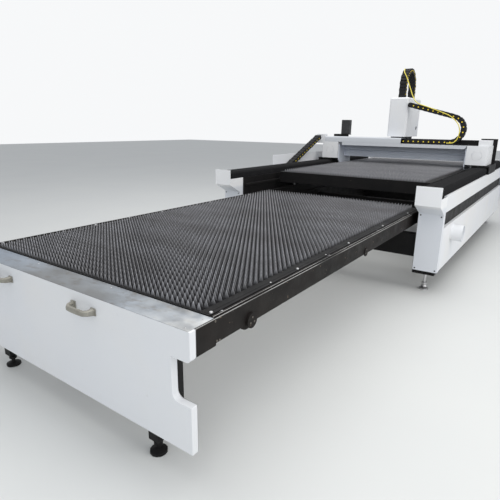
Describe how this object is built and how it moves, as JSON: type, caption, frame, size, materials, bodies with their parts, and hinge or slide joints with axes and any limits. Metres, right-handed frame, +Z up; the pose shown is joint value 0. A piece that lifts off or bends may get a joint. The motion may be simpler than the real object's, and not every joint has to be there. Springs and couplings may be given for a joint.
{
  "type": "fiber laser cutting machine",
  "caption": "Flat bed laser cutting machine with a bridge gantry, a cutting head and two exchange pallets with saw-toothed slats.",
  "frame": {"origin": "on the floor under the middle of the machine", "axes": "+Y from the loading end to the back, +Z up, +X to the right seen from the loading end"},
  "size_m": [2.49, 6.6739, 2.1865],
  "materials": {
    "white_paint": "light textured powder coat",
    "black_paint": "satin black paint",
    "beam_grey": "blue-grey satin paint",
    "handle_paint": "beige-grey paint",
    "motor_grey": "dark grey cast housing",
    "galvanised_steel": "mottled zinc",
    "slat_steel": "dark mill-scale steel",
    "bright_steel": "bright turned steel",
    "copper": "turned copper",
    "bellows_cloth": "coated black cloth in folds",
    "chain_plastic": "black nylon links",
    "hose_yellow": "yellow hose"
  },
  "bodies": {
    "bed": {"front_panel": "white_paint", "front_plate": "galvanised_steel", "handle_left": "handle_paint", "handle_right": "handle_paint", "table_beam_left": "black_paint", "table_beam_right": "black_paint", "table_frame": "black_paint", "bed_frame": "black_paint", "end_cover_front_left": "white_paint", "end_cover_front_right": "white_paint", "end_cover_rear_left": "white_paint", "end_cover_rear_right": "white_paint", "side_band_left": "white_paint", "side_band_right": "white_paint", "side_panel_left": "white_paint", "side_panel_right": "white_paint", "duct_stub": "white_paint", "bed_foot_front_left": "bright_steel", "bed_foot_front_right": "bright_steel", "bed_foot_rear_left": "bright_steel", "bed_foot_rear_right": "bright_steel", "bellows_front_left": "bellows_cloth", "bellows_front_right": "bellows_cloth", "bellows_rear_left": "bellows_cloth", "bellows_rear_right": "bellows_cloth", "chain_tray": "white_paint", "drive_gearmotor": "motor_grey"},
    "pallet_drive": {"drive_shaft": "bright_steel"},
    "pallet_low": {"lower_pallet": "slat_steel"},
    "pallet_up": {"upper_pallet": "slat_steel"},
    "wheel_low_fl": {"lower_wheel_front_left": "bright_steel"},
    "wheel_low_fr": {"lower_wheel_front_right": "bright_steel"},
    "wheel_low_bl": {"lower_wheel_back_left": "bright_steel"},
    "wheel_low_br": {"lower_wheel_back_right": "bright_steel"},
    "wheel_up_fl": {"upper_wheel_front_left": "bright_steel"},
    "wheel_up_fr": {"upper_wheel_front_right": "bright_steel"},
    "wheel_up_bl": {"upper_wheel_back_left": "bright_steel"},
    "wheel_up_br": {"upper_wheel_back_right": "bright_steel"},
    "gantry": {"gantry_beam": "beam_grey", "beam_skirt": "white_paint", "top_cover": "white_paint", "chain_trough": "black_paint", "junction_box": "white_paint", "motor_bracket_left": "black_paint", "motor_bracket_right": "black_paint", "drive_motor_left": "black_paint", "chain_arm": "white_paint", "carriage_left": "beam_grey", "carriage_right": "beam_grey", "end_box_left": "white_paint", "end_box_right": "white_paint", "y_chain": "chain_plastic"},
    "head": {"head_carriage": "black_paint", "head_cover": "white_paint", "x_chain": "chain_plastic", "fibre_hose": "hose_yellow"},
    "z_axis": {"z_slide": "beam_grey", "cutting_head": "bright_steel", "nozzle": "copper", "z_chain": "chain_plastic"}
  },
  "joints": [
    {"name": "gantry_travel", "type": "slide", "parent": "bed", "child": "gantry", "axis": [0, 1, 0], "range_m": [-2.1, 0.85], "deforming": ["bellows_front_left", "bellows_front_right", "bellows_rear_left", "bellows_rear_right", "y_chain"]},
    {"name": "head_travel", "type": "slide", "parent": "gantry", "child": "head", "axis": [1, 0, 0], "range_m": [-0.64, 0.72], "deforming": ["x_chain", "fibre_hose"]},
    {"name": "z_travel", "type": "slide", "parent": "head", "child": "z_axis", "axis": [0, 0, 1], "range_m": [-0.06, 0.04], "deforming": ["z_chain"]},
    {"name": "lower_pallet_travel", "type": "slide", "parent": "bed", "child": "pallet_low", "axis": [0, 1, 0], "range_m": [0, 3.298]},
    {"name": "upper_pallet_travel", "type": "slide", "parent": "bed", "child": "pallet_up", "axis": [0, 1, 0], "range_m": [-3.298, 0]},
    {"name": "lower_wheel_spin_fl", "type": "hinge", "parent": "pallet_low", "child": "wheel_low_fl", "pos_m": [-0.87, -2.733, 0.6143], "axis": [-1, 0, 0], "continuous": true},
    {"name": "lower_wheel_spin_fr", "type": "hinge", "parent": "pallet_low", "child": "wheel_low_fr", "pos_m": [0.87, -2.733, 0.6143], "axis": [-1, 0, 0], "continuous": true},
    {"name": "lower_wheel_spin_bl", "type": "hinge", "parent": "pallet_low", "child": "wheel_low_bl", "pos_m": [-0.87, -0.549, 0.6143], "axis": [-1, 0, 0], "continuous": true},
    {"name": "lower_wheel_spin_br", "type": "hinge", "parent": "pallet_low", "child": "wheel_low_br", "pos_m": [0.87, -0.549, 0.6143], "axis": [-1, 0, 0], "continuous": true},
    {"name": "upper_wheel_spin_fl", "type": "hinge", "parent": "pallet_up", "child": "wheel_up_fl", "pos_m": [-0.8745, 0.565, 0.7243], "axis": [-1, 0, 0], "continuous": true},
    {"name": "upper_wheel_spin_fr", "type": "hinge", "parent": "pallet_up", "child": "wheel_up_fr", "pos_m": [0.8745, 0.565, 0.7243], "axis": [-1, 0, 0], "continuous": true},
    {"name": "upper_wheel_spin_bl", "type": "hinge", "parent": "pallet_up", "child": "wheel_up_bl", "pos_m": [-0.8745, 2.749, 0.7243], "axis": [-1, 0, 0], "continuous": true},
    {"name": "upper_wheel_spin_br", "type": "hinge", "parent": "pallet_up", "child": "wheel_up_br", "pos_m": [0.8745, 2.749, 0.7243], "axis": [-1, 0, 0], "continuous": true},
    {"name": "drive_shaft_spin", "type": "hinge", "parent": "bed", "child": "pallet_drive", "pos_m": [0, 3.237, 0.62], "axis": [-1, 0, 0], "continuous": true}
  ],
  "couplings": [
    {"joint": "upper_pallet_travel", "follows": "lower_pallet_travel", "ratio": -1},
    {"joint": "lower_wheel_spin_fl", "follows": "lower_pallet_travel", "rad_per_m": 33.333},
    {"joint": "lower_wheel_spin_fr", "follows": "lower_pallet_travel", "rad_per_m": 33.333},
    {"joint": "lower_wheel_spin_bl", "follows": "lower_pallet_travel", "rad_per_m": 33.333},
    {"joint": "lower_wheel_spin_br", "follows": "lower_pallet_travel", "rad_per_m": 33.333},
    {"joint": "upper_wheel_spin_fl", "follows": "lower_pallet_travel", "rad_per_m": -29.412},
    {"joint": "upper_wheel_spin_fr", "follows": "lower_pallet_travel", "rad_per_m": -29.412},
    {"joint": "upper_wheel_spin_bl", "follows": "lower_pallet_travel", "rad_per_m": -29.412},
    {"joint": "upper_wheel_spin_br", "follows": "lower_pallet_travel", "rad_per_m": -29.412},
    {"joint": "drive_shaft_spin", "follows": "lower_pallet_travel", "rad_per_m": 20.833}
  ]
}
